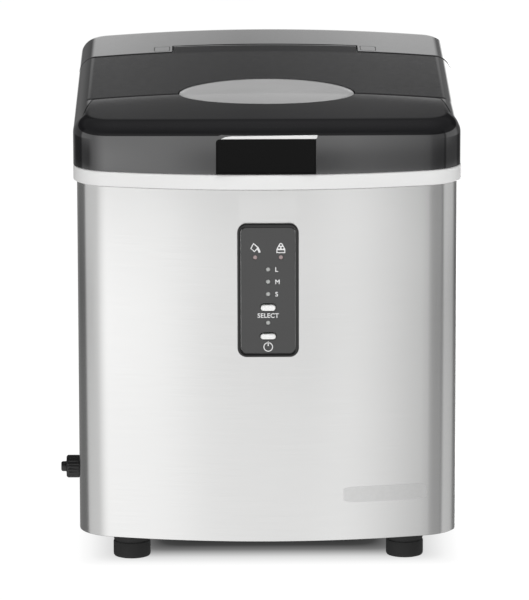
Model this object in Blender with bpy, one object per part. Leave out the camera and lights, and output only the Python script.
"""Countertop bullet ice maker, built as separate pieces.

Lengths are millimetres and become metres when a mesh is made. +Z is up and the front faces -Y.
The cabinet is drawn about X = 0, and the cabinet empty then moves it so that the drain cap on
the left and the cabinet's right side are equally far from the origin. The floor is Z = 0.
"""
import math

import bmesh
import bpy
from mathutils import Matrix, Vector

MM = 0.001
GAP = 0.3                    # between pieces that touch

# Plan of the cabinet: a bowed front, round front corners and smaller round rear corners.
HALF_WIDTH = 146.0
HALF_DEPTH = 175.0
BOW_RADIUS = 430.0
FRONT_FILLET = 35.0
REAR_FILLET = 20.0
BODY_INSET = 2.7             # the top band overhangs the body by this much
SHEET = 1.2
VENT_SLOT = 4.0

# Heights.
BODY_BOTTOM = 18.0
PAN_TOP = 28.0
BAND_BOTTOM = 288.0
BAND_TOP = 299.5
LID_BOTTOM = BAND_TOP + GAP
ROOF_FRONT = 338.9           # roof height over the lid's front edge
ROOF_CREASE = 344.9
ROOF_SEAM = 353.0
ROOF_BACK = 356.2
ROOF_CROWN = 6.3             # how far the roof falls at the sides

# Lid and hinge.
CREASE_Y = -75.0
SEAM_Y = 80.0
SEAM_GAP = 0.6
ROLL = 12.5                  # radius of the rolled top edges
LID_WALL = 3.5
HINGE_Y = 97.0
HINGE_Z = 348.3
TAB_HALF = 72.0
BARREL_RADIUS = 3.5
PIN_RADIUS = 1.5
WINDOW_Y = -69.0
WINDOW_X_RADIUS = 66.5
WINDOW_Y_RADIUS = 45.5
GRIP_HALF = 37.6
GRIP_FACE_Y = -174.9
GRIP_BACK_Y = -173.5
TRIM_BOTTOM = 327.0
TRIM_TOP = 329.8

# Control panel.
PANEL_WIDTH = 46.0
PANEL_HEIGHT = 102.6
PANEL_Z = 212.0
PANEL_CORNER = 7.0
PANEL_BORDER = 2.5
PANEL_FACE_Y = -174.5
SELECT_Z = 198.4
SELECT_SIZE = (11.2, 5.0)
POWER_Z = 176.5
POWER_SIZE = (11.5, 4.6)
BUTTON_BACK_Y = -167.5
LIGHTS = ((-9.6, 236.8), (9.6, 236.8), (0.0, 227.6), (0.0, 218.2), (0.0, 208.8), (0.0, 186.9))
LIGHT_RADIUS = 1.7

# Drain on the left side.
DRAIN_Y = -95.0
DRAIN_Z = 58.8
DRAIN_CAP_END = -158.0

# Feet.
FOOT_RADIUS = 14.1
FOOT_X = 103.5
FOOT_FRONT_Y = -139.0
FOOT_REAR_Y = 138.0

# Water tank, basket and ice-making bay.
TANK_HALF = 118.0
TANK_FRONT_Y = -150.0
TANK_BACK_Y = -6.0
TANK_BOTTOM = 52.0
TANK_TOP = 286.0
BASKET_HALF = 110.0
BASKET_FRONT_Y = -143.0
BASKET_BACK_Y = -32.0
BASKET_BOTTOM = 112.0
BASKET_TOP = 250.0
BAY_FRONT_Y = -4.5
BAY_BACK_Y = 106.0
BAY_BOTTOM = 176.0
TRAY_HALF = 78.0
TRAY_AXIS_Y = 62.0
TRAY_AXIS_Z = 252.0

# Refrigeration.
COMPRESSOR_CENTRE = (-66.0, 98.0)
COMPRESSOR_RADIUS = 46.0
FAN_CENTRE = (66.0, 88.0)    # X and Z
FAN_Y = 78.0

FINISHES = {
    "steel": ((0.74, 0.74, 0.73), 0.28, 1.0),
    "galvanised": ((0.62, 0.64, 0.65), 0.45, 1.0),
    "silver_plastic": ((0.86, 0.86, 0.85), 0.38, 0.0),
    "black_gloss": ((0.02, 0.02, 0.022), 0.08, 0.0),
    "black_satin": ((0.03, 0.03, 0.03), 0.45, 0.0),
    "smoke_window": ((0.42, 0.43, 0.43), 0.15, 0.0),
    "rubber": ((0.025, 0.025, 0.025), 0.8, 0.0),
    "panel_grey": ((0.075, 0.075, 0.08), 0.4, 0.0),
    "light_guide": ((0.75, 0.72, 0.70), 0.25, 0.0),
    "white_plastic": ((0.82, 0.84, 0.84), 0.4, 0.0),
    "copper": ((0.72, 0.36, 0.20), 0.3, 1.0),
    "aluminium": ((0.77, 0.78, 0.79), 0.35, 1.0),
    "black_paint": ((0.02, 0.02, 0.02), 0.35, 0.0),
    "board_green": ((0.03, 0.16, 0.07), 0.5, 0.0),
}


# ---------------------------------------------------------------- scene and materials

def clear_scene():
    for obj in list(bpy.data.objects):
        bpy.data.objects.remove(obj, do_unlink=True)


def make_material(name, colour, roughness, metallic):
    material = bpy.data.materials.new(name)
    material.use_nodes = True
    shader = material.node_tree.nodes["Principled BSDF"]
    shader.inputs["Base Color"].default_value = (*colour, 1.0)
    shader.inputs["Roughness"].default_value = roughness
    shader.inputs["Metallic"].default_value = metallic
    return material


def make_cabinet_empty():
    """Everything hangs on this empty, whose shift centres the bounding box on X = 0."""
    empty = bpy.data.objects.new("cabinet_origin", None)
    empty.location.x = (-DRAIN_CAP_END - HALF_WIDTH) / 2 * MM
    bpy.context.scene.collection.objects.link(empty)
    return empty


def link_mesh(name, bm, pivot):
    """Make an object from a mesh in millimetres, with its origin at the pivot."""
    bmesh.ops.recalc_face_normals(bm, faces=bm.faces)
    bmesh.ops.translate(bm, verts=bm.verts, vec=-Vector(pivot))
    bmesh.ops.scale(bm, verts=bm.verts, vec=(MM, MM, MM))
    mesh = bpy.data.meshes.new(name)
    bm.to_mesh(mesh)
    bm.free()
    obj = bpy.data.objects.new(name, mesh)
    obj.location = Vector(pivot) * MM
    obj.parent = CABINET
    bpy.context.scene.collection.objects.link(obj)
    return obj


def piece(name, bm, finish, pivot=(0, 0, 0)):
    """A piece of the ice maker, smooth where its faces meet at a shallow angle."""
    obj = link_mesh(name, bm, pivot)
    obj.data.materials.append(MATERIALS[finish])
    obj.data.shade_smooth()
    obj.data.set_sharp_from_angle(angle=math.radians(35))
    return obj


def boolean(target, operation, name, bm):
    """Add a Boolean by a hidden helper body."""
    helper = link_mesh(name, bm, (0, 0, 0))
    helper.hide_render = True
    helper.display_type = "WIRE"
    modifier = target.modifiers.new(name, "BOOLEAN")
    modifier.operation = operation
    modifier.object = helper


def cut(target, name, bm):
    boolean(target, "DIFFERENCE", f"cut_{name}", bm)


def join(target, name, bm):
    boolean(target, "UNION", f"join_{name}", bm)


# ---------------------------------------------------------------- shapes

def arc(centre, radius, start, end, steps):
    """Points on an arc; angles are in radians from +X, counter-clockwise."""
    points = []
    for step in range(steps + 1):
        angle = start + (end - start) * step / steps
        points.append((centre[0] + radius * math.cos(angle), centre[1] + radius * math.sin(angle)))
    return points


def front_path(inset):
    """Front of the plan from the left side to the right, at an inset from the band's face."""
    bow = BOW_RADIUS - inset
    fillet = FRONT_FILLET - inset
    bow_centre_y = BOW_RADIUS - HALF_DEPTH
    fillet_x = HALF_WIDTH - FRONT_FILLET
    reach = BOW_RADIUS - FRONT_FILLET
    fillet_y = bow_centre_y - math.sqrt(reach ** 2 - fillet_x ** 2)
    turn = math.asin(fillet_x / reach)
    down = -math.pi / 2
    left = arc((-fillet_x, fillet_y), fillet, -math.pi, down - turn, 5)
    middle = arc((0, bow_centre_y), bow, down - turn, down + turn, 10)
    right = arc((fillet_x, fillet_y), fillet, down + turn, 0, 5)
    return left + middle[1:-1] + right


def rear_corner(inset, side):
    """A rear corner, from the right-hand end of its arc to the left; side is 1 or -1."""
    centre = (side * (HALF_WIDTH - REAR_FILLET), HALF_DEPTH - REAR_FILLET)
    start = 0 if side > 0 else math.pi / 2
    return arc(centre, REAR_FILLET - inset, start, start + math.pi / 2, 4)


def rear_path(inset):
    """Rear of the plan from the right side to the left."""
    middle = [(x, HALF_DEPTH - inset) for x in (80, 40, 0, -40, -80)]
    return rear_corner(inset, 1) + middle + rear_corner(inset, -1)


def plan(inset):
    """The whole closed outline."""
    return front_path(inset) + rear_corner(inset, 1) + rear_corner(inset, -1)


def rounded_rectangle(low, high, radius, steps=4):
    """Counter-clockwise outline between two corners."""
    corners = (
        ((high[0] - radius, low[1] + radius), -math.pi / 2),
        ((high[0] - radius, high[1] - radius), 0),
        ((low[0] + radius, high[1] - radius), math.pi / 2),
        ((low[0] + radius, low[1] + radius), math.pi),
    )
    points = []
    for centre, start in corners:
        points += arc(centre, radius, start, start + math.pi / 2, steps)
    return points


def ellipse(centre, x_radius, y_radius, steps):
    points = []
    for step in range(steps):
        angle = 2 * math.pi * step / steps
        points.append((centre[0] + x_radius * math.cos(angle), centre[1] + y_radius * math.sin(angle)))
    return points


def add_ring(bm, outline, z):
    return [bm.verts.new((x, y, z)) for x, y in outline]


def bridge(bm, first, second):
    """Faces between two rings with as many points each."""
    count = len(first)
    for index in range(count):
        after = (index + 1) % count
        bm.faces.new((first[index], first[after], second[after], second[index]))


def loft(bm, rings):
    """One closed body through a list of (outline, z) rings."""
    made = [add_ring(bm, outline, z) for outline, z in rings]
    for first, second in zip(made, made[1:]):
        bridge(bm, first, second)
    bm.faces.new(list(reversed(made[0])))
    bm.faces.new(made[-1])
    return bm


def prism(outline, low, high):
    return loft(bmesh.new(), [(outline, low), (outline, high)])


def upright(bm):
    """Turn a plan drawn in X and Y, extruded along Z, to stand in X and Z, extruded along -Y."""
    bmesh.ops.rotate(bm, verts=bm.verts, cent=(0, 0, 0), matrix=Matrix.Rotation(math.pi / 2, 3, "X"))
    return bm


def plate(outline, front_y, back_y):
    """A plate standing upright, with its outline in X and Z."""
    return upright(prism(outline, -back_y, -front_y))


def tray(outline_at, bottom, top, wall, floor):
    """An open tray; outline_at gives its outline at an inset."""
    rings = [
        (outline_at(0), bottom),
        (outline_at(0), top),
        (outline_at(wall), top),
        (outline_at(wall), bottom + floor),
    ]
    return loft(bmesh.new(), rings)


def box_outline(half_width, front_y, back_y, radius):
    """A function giving a rounded rectangle at an inset."""
    def outline_at(inset):
        low = (-half_width + inset, front_y + inset)
        high = (half_width - inset, back_y - inset)
        return rounded_rectangle(low, high, max(radius - inset, 1.0))
    return outline_at


def box(low, high):
    bm = bmesh.new()
    bmesh.ops.create_cube(bm, size=1)
    size = Vector(high) - Vector(low)
    bmesh.ops.scale(bm, verts=bm.verts, vec=size)
    bmesh.ops.translate(bm, verts=bm.verts, vec=Vector(low) + size / 2)
    return bm


def boxes(corners):
    """Several separate boxes in one helper."""
    bm = bmesh.new()
    for low, high in corners:
        size = Vector(high) - Vector(low)
        place = Matrix.Translation(Vector(low) + size / 2) @ Matrix.Diagonal((*size, 1))
        bmesh.ops.create_cube(bm, size=1, matrix=place)
    return bm


AXES = {
    "z": Matrix.Identity(4),
    "x": Matrix.Rotation(math.pi / 2, 4, "Y"),
    "y": Matrix.Rotation(-math.pi / 2, 4, "X"),
}


def turned(profile, centre, axis="z", steps=16, closed=False):
    """Revolve (radius, height) pairs about an axis through the centre.

    A closed profile makes a ring; an open one is capped at both ends.
    """
    bm = bmesh.new()
    rings = []
    for radius, height in profile:
        rings.append([bm.verts.new((x, y, height)) for x, y in ellipse((0, 0), radius, radius, steps)])
    for first, second in zip(rings, rings[1:]):
        bridge(bm, first, second)
    if closed:
        bridge(bm, rings[-1], rings[0])
    else:
        bm.faces.new(rings[0])
        bm.faces.new(rings[-1])
    place = Matrix.Translation(Vector(centre)) @ AXES[axis]
    bmesh.ops.transform(bm, verts=bm.verts, matrix=place)
    return bm


def rod(radius, start, end, centre, axis="z", steps=16):
    return turned([(radius, start), (radius, end)], centre, axis, steps)


def rounded_route(corners, bend, steps=4):
    """A route of straight runs with its corners rounded to a bend radius."""
    route = [Vector(corners[0])]
    for before, corner, after in zip(corners, corners[1:], corners[2:]):
        corner = Vector(corner)
        back = (Vector(before) - corner).normalized()
        ahead = (Vector(after) - corner).normalized()
        half_angle = back.angle(ahead) / 2
        length = bend / math.tan(half_angle)
        centre = corner + (back + ahead).normalized() * bend / math.sin(half_angle)
        start = corner + back * length - centre
        end = corner + ahead * length - centre
        for step in range(steps + 1):
            route.append(centre + bend * start.slerp(end, step / steps))
    route.append(Vector(corners[-1]))
    return route


def pipe(name, corners, radius, bend, finish, sides=6):
    """A bent pipe or hose: a round section carried along the route without twisting."""
    route = rounded_route(corners, bend)
    bm = bmesh.new()
    rings = []
    across = (route[1] - route[0]).orthogonal().normalized()
    for index, point in enumerate(route):
        before = route[max(index - 1, 0)]
        after = route[min(index + 1, len(route) - 1)]
        along = (after - before).normalized()
        across = (across - along * across.dot(along)).normalized()
        other = along.cross(across)
        ring = []
        for side in range(sides):
            angle = 2 * math.pi * side / sides
            ring.append(bm.verts.new(point + radius * (across * math.cos(angle) + other * math.sin(angle))))
        rings.append(ring)
    for first, second in zip(rings, rings[1:]):
        bridge(bm, first, second)
    bm.faces.new(rings[0])
    bm.faces.new(rings[-1])
    return piece(name, bm, finish)


# ---------------------------------------------------------------- roof of the lid and rear cover

def roof_height(x, y):
    """The roof rises from the front to a crease, then less steeply to the back."""
    stations = (
        (-HALF_DEPTH, ROOF_FRONT),
        (CREASE_Y, ROOF_CREASE),
        (SEAM_Y, ROOF_SEAM),
        (HALF_DEPTH, ROOF_BACK),
    )
    height = ROOF_BACK
    for (y0, z0), (y1, z1) in zip(stations, stations[1:]):
        if y <= y1:
            height = z0 + (z1 - z0) * (y - y0) / (y1 - y0)
            break
    return height - ROOF_CROWN * (x / HALF_WIDTH) ** 2


def roof_rows(curved, straight_y, middle_y, rows):
    """Rows of points from the curved end of a plan to its straight end.

    A row lies exactly on middle_y, so that the roof can have its crease there.
    """
    grid = [curved]
    for step in range(1, rows + 1):
        grid.append([(x, y + (middle_y - y) * step / rows) for x, y in curved])
    for step in range(1, rows + 1):
        grid.append([(x, middle_y + (straight_y - middle_y) * step / rows) for x, _ in curved])
    return grid


def border(grid):
    """The outer points of a grid, in order round it."""
    left = [row[0] for row in grid[1:-1]]
    right = [row[-1] for row in grid[1:-1]]
    return list(grid[0]) + right + list(reversed(grid[-1])) + list(reversed(left))


def roof_skin(bm, path_at, inset, thickness, straight_y, middle_y):
    """One skin of a roof shell: a wall, a rolled edge and the top. Returns the bottom ring."""
    roll = ROLL - thickness
    rows = 3
    flat = roof_rows(path_at(inset), straight_y, middle_y, rows)
    bottom = [bm.verts.new((x, y, LID_BOTTOM)) for x, y in border(flat)]
    ring = bottom
    roll_steps = 3
    for step in range(roll_steps):
        angle = math.pi / 2 * step / roll_steps
        edge = inset + roll * (1 - math.cos(angle))
        drop = thickness + roll * (1 - math.sin(angle))
        outline = border(roof_rows(path_at(edge), straight_y, middle_y, rows))
        next_ring = [bm.verts.new((x, y, roof_height(x, y) - drop)) for x, y in outline]
        bridge(bm, ring, next_ring)
        ring = next_ring
    top = []
    for row in roof_rows(path_at(inset + roll), straight_y, middle_y, rows):
        top.append([bm.verts.new((x, y, roof_height(x, y) - thickness)) for x, y in row])
    bridge(bm, ring, border(top))
    for row, next_row in zip(top, top[1:]):
        for index in range(len(row) - 1):
            bm.faces.new((row[index], row[index + 1], next_row[index + 1], next_row[index]))
    return bottom


def roof_shell(path_at, straight_y, inner_straight_y, middle_y):
    """A hollow cover, open below."""
    bm = bmesh.new()
    outer = roof_skin(bm, path_at, 0, 0, straight_y, middle_y)
    inner = roof_skin(bm, path_at, LID_WALL, LID_WALL, inner_straight_y, middle_y)
    bridge(bm, outer, inner)
    return bm


# ---------------------------------------------------------------- cabinet

def body_plan(inset):
    return plan(BODY_INSET + inset)


def pan_plan(inset):
    return body_plan(SHEET + GAP + inset)


def slots(across, rows, low, high):
    """Corners of a bank of vent slots: across and rows give each slot's two sides in turn."""
    bank = []
    for a_low, a_high in across:
        for z in rows:
            bank.append(((low, a_low, z), (high, a_high, z + VENT_SLOT)))
    return bank


def make_cabinet():
    pan = piece("base_pan", tray(pan_plan, BODY_BOTTOM, PAN_TOP, 2.0, 2.5), "galvanised")
    cut(pan, "pan_drain", rod(5.0, 0, 60, (30, 20, 0), steps=12))

    # One steel sheet is wrapped round the front and both sides, and returns round the rear corners.
    back_half = HALF_WIDTH - REAR_FILLET
    skins = []
    for inset in (BODY_INSET, BODY_INSET + SHEET):
        skins.append(rear_corner(inset, -1) + front_path(inset) + rear_corner(inset, 1))
    wrap_outline = skins[0] + list(reversed(skins[1]))
    wrap = piece("cabinet_wrap", prism(wrap_outline, BODY_BOTTOM, BAND_BOTTOM - GAP), "steel")
    half_w = PANEL_WIDTH / 2 - PANEL_BORDER - 1
    half_h = PANEL_HEIGHT / 2 - PANEL_BORDER - 1
    openings = [((-half_w, -180, PANEL_Z - half_h), (half_w, -160, PANEL_Z + half_h))]
    vent_rows = [50 + 12 * row for row in range(7)]
    for side in (-1, 1):
        low, high = sorted((side * 138, side * 150))
        openings += slots(((22, 58), (66, 102)), vent_rows, low, high)
    cut(wrap, "wrap_openings", boxes(openings))
    cut(wrap, "wrap_drain", rod(6.6, -150, -130, (0, DRAIN_Y, DRAIN_Z), "x"))

    rear_y = HALF_DEPTH - BODY_INSET
    half = back_half - GAP
    rear = piece("rear_panel", box((-half, rear_y - SHEET, BODY_BOTTOM),
                                   (half, rear_y, BAND_BOTTOM - GAP)), "galvanised")
    rear_openings = []
    for row in range(8):
        z = 44 + 12 * row
        low = (FAN_CENTRE[0] - 42, rear_y - 5, z)
        rear_openings.append((low, (FAN_CENTRE[0] + 42, rear_y + 5, z + VENT_SLOT)))
    cut(rear, "rear_vents", boxes(rear_openings))
    cut(rear, "rear_gland", rod(6.3, 160, 190, (-96, 0, 52), "y"))
    screw_index = 0
    for x in (-116, 116):
        for z in (36, 276):
            screw_index += 1
            cut(rear, f"screw_hole_{screw_index}", rod(2.3, 165, 180, (x, 0, z), "y", 10))
            head = [(1.9, 0), (1.9, 5.4), (3.8, 5.4), (3.4, 7.2), (1.4, 7.6)]
            piece(f"rear_screw_{screw_index}", turned(head, (x, rear_y - 5.1, z), "y", 10), "galvanised")
    gland = [(5.9, 0), (5.9, 8.0), (8.6, 8.3), (7.4, 9.8), (3.6, 9.8), (3.6, 0)]
    piece("cord_gland", turned(gland, (-96, rear_y - 8.0, 52), "y", 14, closed=True), "black_satin")

    frame = piece("top_frame", tray(plan, BAND_BOTTOM, BAND_TOP, 3.0, 3.0), "silver_plastic")
    hatch = rounded_rectangle((-124, -148), (124, 106), 14)
    cut(frame, "frame_hatch", prism(hatch, BAND_BOTTOM - 3, BAND_BOTTOM + 6))

    foot = [(12.4, 0), (FOOT_RADIUS - 0.4, 0.6), (FOOT_RADIUS, 2.0), (FOOT_RADIUS, BODY_BOTTOM - GAP)]
    for side, x in (("left", -FOOT_X), ("right", FOOT_X)):
        for end, y in (("front", FOOT_FRONT_Y), ("rear", FOOT_REAR_Y)):
            piece(f"foot_{end}_{side}", turned(foot, (x, y, 0), steps=24), "rubber")


# ---------------------------------------------------------------- lid and rear cover

def make_lid():
    pivot = (0, HINGE_Y, HINGE_Z)
    lid = piece("lid", roof_shell(front_path, SEAM_Y, SEAM_Y - LID_WALL, CREASE_Y), "black_gloss", pivot)
    cut(lid, "lid_window", prism(ellipse((0, WINDOW_Y), WINDOW_X_RADIUS + GAP, WINDOW_Y_RADIUS + GAP, 36),
                                 320, 370))
    recess_y = GRIP_BACK_Y + GAP
    cut(lid, "lid_grip", box((-GRIP_HALF - GAP, -190, 290), (GRIP_HALF + GAP, recess_y, TRIM_TOP + GAP)))
    tab = box((-TAB_HALF, SEAM_Y - 2, HINGE_Z - 2.5), (TAB_HALF, HINGE_Y, HINGE_Z + 2.0))
    join(lid, "lid_tab", tab)
    join(lid, "lid_barrel", rod(BARREL_RADIUS, -TAB_HALF, TAB_HALF, (0, HINGE_Y, HINGE_Z), "x", 16))
    for side in (-1, 1):
        start, end = sorted((side * 58, side * 90))
        cut(lid, f"lid_bore_{'left' if side < 0 else 'right'}",
            rod(PIN_RADIUS + 0.5, start, end, (0, HINGE_Y, HINGE_Z), "x", 12))

    # The window follows the roof, so it is built from rings that take their height from it.
    bm = bmesh.new()
    skins = []
    for drop in (0.0, 2.5):
        rings = []
        for share in (1.0, 0.6, 0.2):
            outline = ellipse((0, WINDOW_Y), WINDOW_X_RADIUS * share, WINDOW_Y_RADIUS * share, 36)
            rings.append([bm.verts.new((x, y, roof_height(x, y) - drop)) for x, y in outline])
        for first, second in zip(rings, rings[1:]):
            bridge(bm, first, second)
        bm.faces.new(rings[-1])
        skins.append(rings[0])
    bridge(bm, skins[0], skins[1])
    piece("lid_window", bm, "smoke_window", pivot)

    grip = box((-GRIP_HALF, GRIP_FACE_Y, LID_BOTTOM + 0.5), (GRIP_HALF, GRIP_BACK_Y, TRIM_BOTTOM - GAP))
    piece("lid_grip", grip, "black_satin", pivot)
    trim = rounded_rectangle((-GRIP_HALF + 2.2, TRIM_BOTTOM), (GRIP_HALF - 2.2, TRIM_TOP), 1.0, 3)
    piece("grip_trim", plate(trim, GRIP_FACE_Y, GRIP_BACK_Y), "silver_plastic", pivot)


def make_rear_cover():
    straight = SEAM_Y + SEAM_GAP
    cover = piece("rear_cover", roof_shell(rear_path, straight, straight + LID_WALL, 130), "black_gloss")
    wall = 2.5
    half = TAB_HALF + 1.0
    back = HINGE_Y + BARREL_RADIUS + 2.9
    floor = HINGE_Z - BARREL_RADIUS - 3.0
    top = roof_height(half, HINGE_Y) - 1.0
    join(cover, "cover_trough", box((-half - wall, straight + 1, floor - wall), (half + wall, back + wall, top)))
    cut(cover, "cover_recess", box((-half, straight - 5, floor), (half, back, 370)))
    for side in (-1, 1):
        name = "left" if side < 0 else "right"
        start, end = sorted((side * 70, side * 84))
        axis_point = (0, HINGE_Y, HINGE_Z)
        cut(cover, f"cover_bore_{name}", rod(PIN_RADIUS + GAP, start, end, axis_point, "x", 12))
        start, end = sorted((side * 60, side * 80))
        piece(f"hinge_pin_{name}", rod(PIN_RADIUS, start, end, axis_point, "x", 12), "galvanised")


# ---------------------------------------------------------------- controls

def panel_outline(inset):
    half_w = PANEL_WIDTH / 2 - inset
    half_h = PANEL_HEIGHT / 2 - inset
    return rounded_rectangle((-half_w, PANEL_Z - half_h), (half_w, PANEL_Z + half_h), PANEL_CORNER - inset, 5)


def pill(size, z, grow=0.0):
    half_w = size[0] / 2 + grow
    half_h = size[1] / 2 + grow
    return rounded_rectangle((-half_w, z - half_h), (half_w, z + half_h), half_h - 0.01, 4)


def make_controls():
    seat_y = -(HALF_DEPTH - BODY_INSET) - GAP
    bm = bmesh.new()
    loft_rings = [
        (panel_outline(0), -seat_y),
        (panel_outline(0), -seat_y + 1.2),
        (panel_outline(0.8), -PANEL_FACE_Y + 0.3),
        (panel_outline(PANEL_BORDER), -PANEL_FACE_Y),
        (panel_outline(PANEL_BORDER), -seat_y),
    ]
    made = [add_ring(bm, outline, height) for outline, height in loft_rings]
    for first, second in zip(made, made[1:] + made[:1]):
        bridge(bm, first, second)
    piece("control_bezel", upright(bm), "black_satin")

    face = piece("control_face", plate(panel_outline(PANEL_BORDER + GAP), PANEL_FACE_Y + 0.4, seat_y), "panel_grey")
    buttons = (("select_button", SELECT_SIZE, SELECT_Z), ("power_button", POWER_SIZE, POWER_Z))
    for name, size, z in buttons:
        cut(face, f"face_{name}", plate(pill(size, z, GAP), -180, -165))
        pivot = (0, PANEL_FACE_Y, z)
        piece(name, plate(pill(size, z), PANEL_FACE_Y - 0.2, BUTTON_BACK_Y), "silver_plastic", pivot)

    guide_front = -170.6
    guide = piece("indicator_light_guide", box((-13, guide_front, 183), (13, guide_front + 1.2, 240.5)),
                  "light_guide")
    cut(guide, "guide_button", plate(pill(SELECT_SIZE, SELECT_Z, 0.8), -180, -160))
    for index, (x, z) in enumerate(LIGHTS):
        lamp = (x, 0, z)
        cut(face, f"face_light_{index}", rod(LIGHT_RADIUS + GAP, -180, -165, lamp, "y", 8))
        join(guide, f"light_{index}", rod(LIGHT_RADIUS, PANEL_FACE_Y + 0.3, guide_front + 0.6, lamp, "y", 8))

    board = piece("control_board", box((-19, -163, 167), (19, -161.4, 257)), "board_green")
    for name, _, z in buttons:
        join(board, f"switch_{name}", box((-3, BUTTON_BACK_Y + 1.1, z - 3), (3, -162.5, z + 3)))


# ---------------------------------------------------------------- water and ice

def make_water_side():
    tank = piece("water_tank", tray(box_outline(TANK_HALF, TANK_FRONT_Y, TANK_BACK_Y, 12),
                                    TANK_BOTTOM, TANK_TOP, 2.5, 2.5), "white_plastic")
    cut(tank, "tank_ice_gate", box((-100, TANK_BACK_Y - 8, 190), (100, TANK_BACK_Y + 5, 300)))
    cut(tank, "tank_drain", rod(3.6, -130, -110, (0, DRAIN_Y, DRAIN_Z), "x", 12))

    basket = piece("ice_basket", tray(box_outline(BASKET_HALF, BASKET_FRONT_Y, BASKET_BACK_Y, 14),
                                      BASKET_BOTTOM, BASKET_TOP, 2.2, 2.2), "white_plastic",
                   (0, (BASKET_FRONT_Y + BASKET_BACK_Y) / 2, BASKET_BOTTOM))
    drains = []
    for column in range(4):
        x = -78 + 52 * column
        for y in (-128, -88, -72):
            drains.append(((x - 8, y, BASKET_BOTTOM - 3), (x + 8, y + 12, BASKET_BOTTOM + 6)))
    cut(basket, "basket_drains", boxes(drains))
    rest_outline = box_outline(BASKET_HALF + 5, BASKET_FRONT_Y - 3, BASKET_BACK_Y + 12, 14)
    rest_rings = [
        (rest_outline(0), BASKET_BOTTOM - 4.3),
        (rest_outline(0), BASKET_BOTTOM - GAP),
        (rest_outline(16), BASKET_BOTTOM - GAP),
        (rest_outline(16), BASKET_BOTTOM - 4.3),
    ]
    bm = bmesh.new()
    made = [add_ring(bm, outline, height) for outline, height in rest_rings]
    for first, second in zip(made, made[1:] + made[:1]):
        bridge(bm, first, second)
    piece("basket_rest", bm, "white_plastic")

    spout = [(8.0, 0), (8.0, 1.6), (5.4, 1.6), (5.4, 27.6), (3.6, 27.6), (3.6, 0)]
    spout_start = -TANK_HALF - GAP
    flipped = [(radius, -height) for radius, height in spout]
    piece("drain_spout", turned(flipped, (spout_start, DRAIN_Y, DRAIN_Z), "x", 14, closed=True), "black_satin")
    cap = [(6.0, 0), (8.7, 0), (8.7, 8.6), (7.6, 10.0), (3.9, 10.2), (3.9, 13.0), (3.0, 14.0)]
    cap_start = DRAIN_CAP_END + 14.0
    flipped = [(radius, -height) for radius, height in cap]
    drain_cap = piece("drain_cap", turned(flipped, (cap_start, DRAIN_Y, DRAIN_Z), "x", 16), "black_satin",
                      (cap_start, DRAIN_Y, DRAIN_Z))
    cut(drain_cap, "cap_bore", rod(6.0, cap_start - 8, cap_start + 5, (0, DRAIN_Y, DRAIN_Z), "x", 16))
    seal_start = spout_start - 27.6 - GAP
    seal = [(3.0, 5.0), (3.0, 0), (5.6, 0), (5.6, seal_start - cap_start + 8 - GAP)]
    flipped = [(radius, -height if height > 0 and radius > 4 else height) for radius, height in seal]
    piece("drain_seal", turned(flipped, (seal_start, DRAIN_Y, DRAIN_Z), "x", 12), "rubber",
          (seal_start, DRAIN_Y, DRAIN_Z))

    stem = [(9, 0), (9, 2), (2.5, 2), (2.5, 34), (4.5, 34), (4.5, 36)]
    float_place = (92, -60, TANK_BOTTOM + 2.5 + GAP)
    piece("float_stem", turned(stem, float_place, steps=12), "white_plastic")
    ring = [(3.2, 2.6), (9.5, 2.6), (9.5, 16.6), (3.2, 16.6)]
    piece("water_float", turned(ring, float_place, steps=14, closed=True), "silver_plastic", float_place)

    pump_place = (50, -60, BODY_BOTTOM + 2.5 + GAP)
    pump = piece("water_pump", rod(17, 0, 30, pump_place, steps=18), "black_satin")
    join(pump, "pump_port", rod(3.2, 10, 26, (50, -60, 34), "x", 10))
    pipe("pump_hose", [(76.4, -60, 34), (131, -60, 34), (131, -60, 150), (131, 12, 150), (131, 12, 268),
                       (84, 12, 268)], 2.6, 8, "white_plastic")


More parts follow.
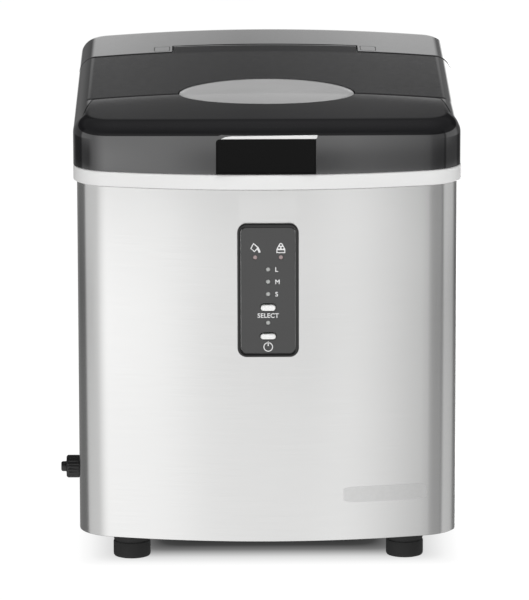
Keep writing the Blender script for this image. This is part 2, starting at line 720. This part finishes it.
def make_ice_side():
    bay_outline = box_outline(TANK_HALF, BAY_FRONT_Y, BAY_BACK_Y, 6)
    bay = piece("evaporator_housing", tray(bay_outline, BAY_BOTTOM, TANK_TOP, 2.5, 2.5), "white_plastic")
    cut(bay, "bay_front", box((-110, BAY_FRONT_Y - 5, 182), (110, BAY_FRONT_Y + 5, 300)))
    cut(bay, "bay_shaft", rod(4.6, 100, 130, (0, TRAY_AXIS_Y, TRAY_AXIS_Z), "x", 12))
    for index, x in enumerate((-90, 96)):
        cut(bay, f"bay_pipe_{index}", rod(5.0, 95, 120, (x, 0, 278), "y", 12))
    cut(bay, "bay_hose", rod(4.0, 110, 130, (0, 12, 268), "x", 12))

    # The cold tube carries nine fingers in two staggered rows.
    tube = piece("evaporator", box((-58, 20, 268), (58, 46, 276)), "steel")
    for row_y, xs in ((24, (-48, -24, 0, 24, 48)), (42, (-36, -12, 12, 36))):
        for x in xs:
            finger = [(4.5, 269), (4.5, 228), (3.4, 225), (1.2, 224)]
            join(tube, f"finger_{row_y}_{x + 60}", turned(finger, (x, row_y, 0), steps=6))
    join(tube, "evaporator_mount", box((-64, 28, 272), (64, 38, 280)))

    pivot = (0, TRAY_AXIS_Y, TRAY_AXIS_Z)
    trough_outline = box_outline(TRAY_HALF, 4, 56, 5)
    trough = piece("water_tray", tray(trough_outline, 214, 246, 2.0, 2.0), "white_plastic", pivot)
    for side in (-1, 1):
        low, high = sorted((side * (TRAY_HALF - 1.5), side * (TRAY_HALF + 3)))
        join(trough, f"tray_arm_{side + 1}", box((low, 44, 232), (high, 68, 258)))
    shaft = rod(4.0, TRAY_HALF + 3 + GAP, TANK_HALF + 12, (0, TRAY_AXIS_Y, TRAY_AXIS_Z), "x", 12)
    piece("tray_shaft", shaft, "galvanised", pivot)
    motor_low = TANK_HALF + GAP
    motor = piece("tray_motor", box((motor_low, 44, 236), (motor_low + 20, 80, 268)), "silver_plastic")
    cut(motor, "motor_bore", rod(4.5, 110, motor_low + 14, (0, TRAY_AXIS_Y, TRAY_AXIS_Z), "x", 12))
    piece("ice_level_sensor", box((-114.5, -30, 236), (-101, -15, 252)), "black_satin")


# ---------------------------------------------------------------- refrigeration and electrics

def make_refrigeration():
    cx, cy = COMPRESSOR_CENTRE
    pan_floor = BODY_BOTTOM + 2.5 + GAP
    bracket = piece("compressor_bracket", box((cx - 52, cy - 46, pan_floor + 8), (cx + 52, cy + 46, pan_floor + 10.5)),
                    "black_paint")
    shell = [(26, 0), (38, 4), (COMPRESSOR_RADIUS - 2, 14), (COMPRESSOR_RADIUS, 30), (COMPRESSOR_RADIUS, 84),
             (COMPRESSOR_RADIUS - 5, 98), (30, 108), (12, 112)]
    piece("compressor", turned(shell, (cx, cy, pan_floor + 10.8), steps=24), "black_paint")
    for index, (dx, dy) in enumerate(((-46, -38), (46, -38), (0, 40)), 1):
        cut(bracket, f"bracket_hole_{index}", rod(4.3, 20, 60, (cx + dx, cy + dy, 0), steps=10))
        grommet = [(7, 0), (7, 7.7), (4.0, 7.7), (4.0, 12.5), (1.5, 12.5)]
        piece(f"compressor_grommet_{index}", turned(grommet, (cx + dx, cy + dy, pan_floor), steps=12), "rubber")

    condenser = piece("condenser", box((12, 30, 36), (120, 52, 144)), "aluminium")
    fins = [((11, 29, 44 + 9 * row), (121, 38, 48 + 9 * row)) for row in range(11)]
    cut(condenser, "condenser_fins", boxes(fins))

    fan_x, fan_z = FAN_CENTRE
    shroud_outline = rounded_rectangle((fan_x - 54, fan_z - 54), (fan_x + 54, fan_z + 54), 6)
    shroud = piece("fan_shroud", plate(shroud_outline, 52.6, 92), "black_satin")
    cut(shroud, "shroud_bore", rod(48, 40, 110, (fan_x, 0, fan_z), "y", 32))
    spokes = [((fan_x - 50, 88, fan_z - 2), (fan_x + 50, 91.5, fan_z + 2))]
    join(shroud, "shroud_spoke", boxes(spokes))
    cut(shroud, "shroud_boss", rod(15.3, 80, 100, (fan_x, 0, fan_z), "y", 20))
    join(shroud, "shroud_ring", turned([(15.3, 88), (17.5, 88), (17.5, 91.5), (15.3, 91.5)],
                                       (fan_x, 0, fan_z), "y", 20, closed=True))
    piece("fan_motor", rod(15.0, 84, 104, (fan_x, 0, fan_z), "y", 20), "galvanised")
    rotor = piece("fan_rotor", rod(14, 60, 80, (fan_x, 0, fan_z), "y", 18), "black_satin", (fan_x, FAN_Y, fan_z))
    join(rotor, "fan_shaft", rod(3, 76, 83.7, (fan_x, 0, fan_z), "y", 10))
    for blade in range(5):
        bm = box((10, -1, -9), (45, 1, 9))
        pitch = Matrix.Rotation(math.radians(38), 4, "X")
        turn = Matrix.Rotation(2 * math.pi * blade / 5, 4, "Y")
        bmesh.ops.transform(bm, verts=bm.verts, matrix=Matrix.Translation((fan_x, 70, fan_z)) @ turn @ pitch)
        join(rotor, f"fan_blade_{blade}", bm)

    drier = [(3, 0), (9, 8), (9, 66), (3, 74)]
    piece("filter_drier", turned(drier, (-4, 136, 50), steps=12), "copper")
    valve = piece("hot_gas_valve", rod(8, 0, 26, (22, 136, 92), steps=12), "copper")
    join(valve, "valve_coil", box((12, 126, 98), (32, 146, 114)))

    top = pan_floor + 10.8 + 112 + GAP
    pipe("discharge_pipe", [(cx + 6, cy, top), (cx + 6, cy, top + 16), (0, cy, top + 16), (0, 41, top + 16),
                            (0, 41, 134), (11.7, 41, 134)], 2.5, 8, "copper")
    pipe("liquid_pipe", [(11.7, 41, 46), (-4, 41, 46), (-4, 41, 34), (-4, 136, 34), (-4, 136, 49.7)],
         2.0, 5, "copper")
    pipe("capillary", [(-4, 136, 124.3), (-4, 136, 168), (-90, 136, 168), (-90, 136, 278), (-90, 33, 278),
                       (-64.3, 33, 278)], 1.6, 8, "copper")
    pipe("suction_pipe", [(64.3, 33, 278), (96, 33, 278), (96, 120, 278), (96, 120, 171), (cx - 6, 120, 171),
                          (cx - 6, cy, 171), (cx - 6, cy, top)], 2.5, 8, "copper")


def make_electrics():
    piece("power_board", box((-60, 140, 196), (60, 141.6, 262)), "board_green")
    capacitor = [(13, 0), (14, 1), (14, 44), (12, 46)]
    piece("run_capacitor", turned(capacitor, (92, 142, 196), steps=16), "black_satin")
    piece("terminal_cover", box((COMPRESSOR_CENTRE[0] - 18, COMPRESSOR_CENTRE[1] + COMPRESSOR_RADIUS + GAP, 70),
                                (COMPRESSOR_CENTRE[0] + 18, COMPRESSOR_CENTRE[1] + COMPRESSOR_RADIUS + 14, 104)),
          "black_satin")


clear_scene()
MATERIALS = {name: make_material(name, *values) for name, values in FINISHES.items()}
CABINET = make_cabinet_empty()
make_cabinet()
make_lid()
make_rear_cover()
make_controls()
make_water_side()
make_ice_side()
make_refrigeration()
make_electrics()
